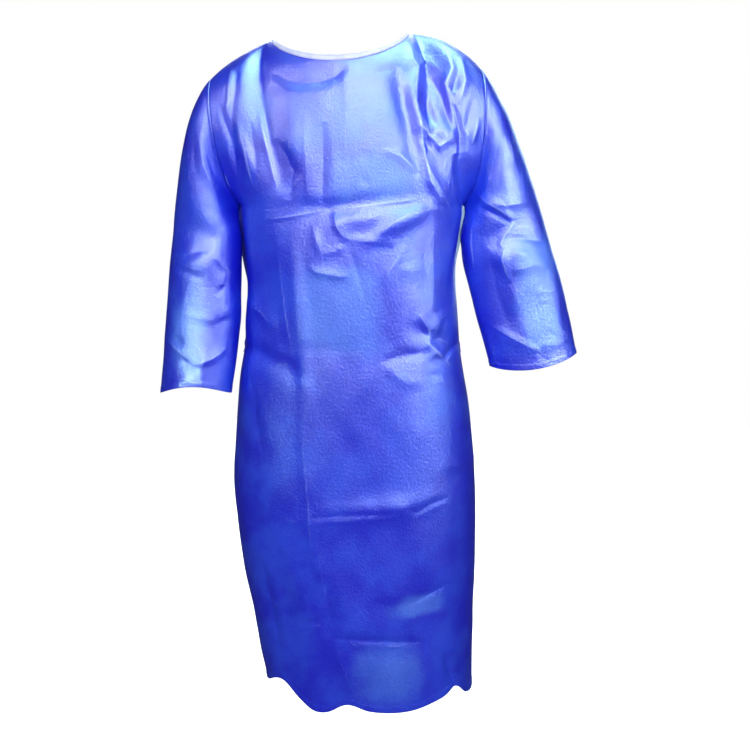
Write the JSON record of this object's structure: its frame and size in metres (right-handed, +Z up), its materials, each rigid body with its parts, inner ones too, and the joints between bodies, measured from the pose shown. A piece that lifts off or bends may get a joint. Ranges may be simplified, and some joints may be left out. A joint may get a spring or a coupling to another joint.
{
  "type": "surgical gown",
  "caption": "Disposable film-faced surgical gown with set-in elbow-to-wrist sleeves, bound round neck, overlapping open back and waist ties, held at the shoulders",
  "frame": {"origin": "middle of the neck and shoulder line, where the wearer's shoulders hold the gown", "axes": "+X to the right seen from the front, front faces -Y, +Z up"},
  "size_m": [0.7055, 0.2832, 1.1284],
  "materials": {
    "gown_film": "glossy embossed film on nonwoven, royal blue",
    "binding_tape": "matt pale nonwoven tape"
  },
  "bodies": {
    "root": {"front_upper": "gown_film", "front_lower": "gown_film", "back_left_upper": "gown_film", "back_left_lower": "gown_film", "back_right_upper": "gown_film", "back_right_lower": "gown_film", "sleeve_left": "gown_film", "sleeve_right": "gown_film", "neck_binding": "binding_tape", "neck_fastener": "binding_tape", "waist_tie_left": "gown_film", "waist_tie_right": "gown_film", "waist_knot": "gown_film", "waist_tail_left": "gown_film", "waist_tail_right": "gown_film"}
  },
  "joints": []
}
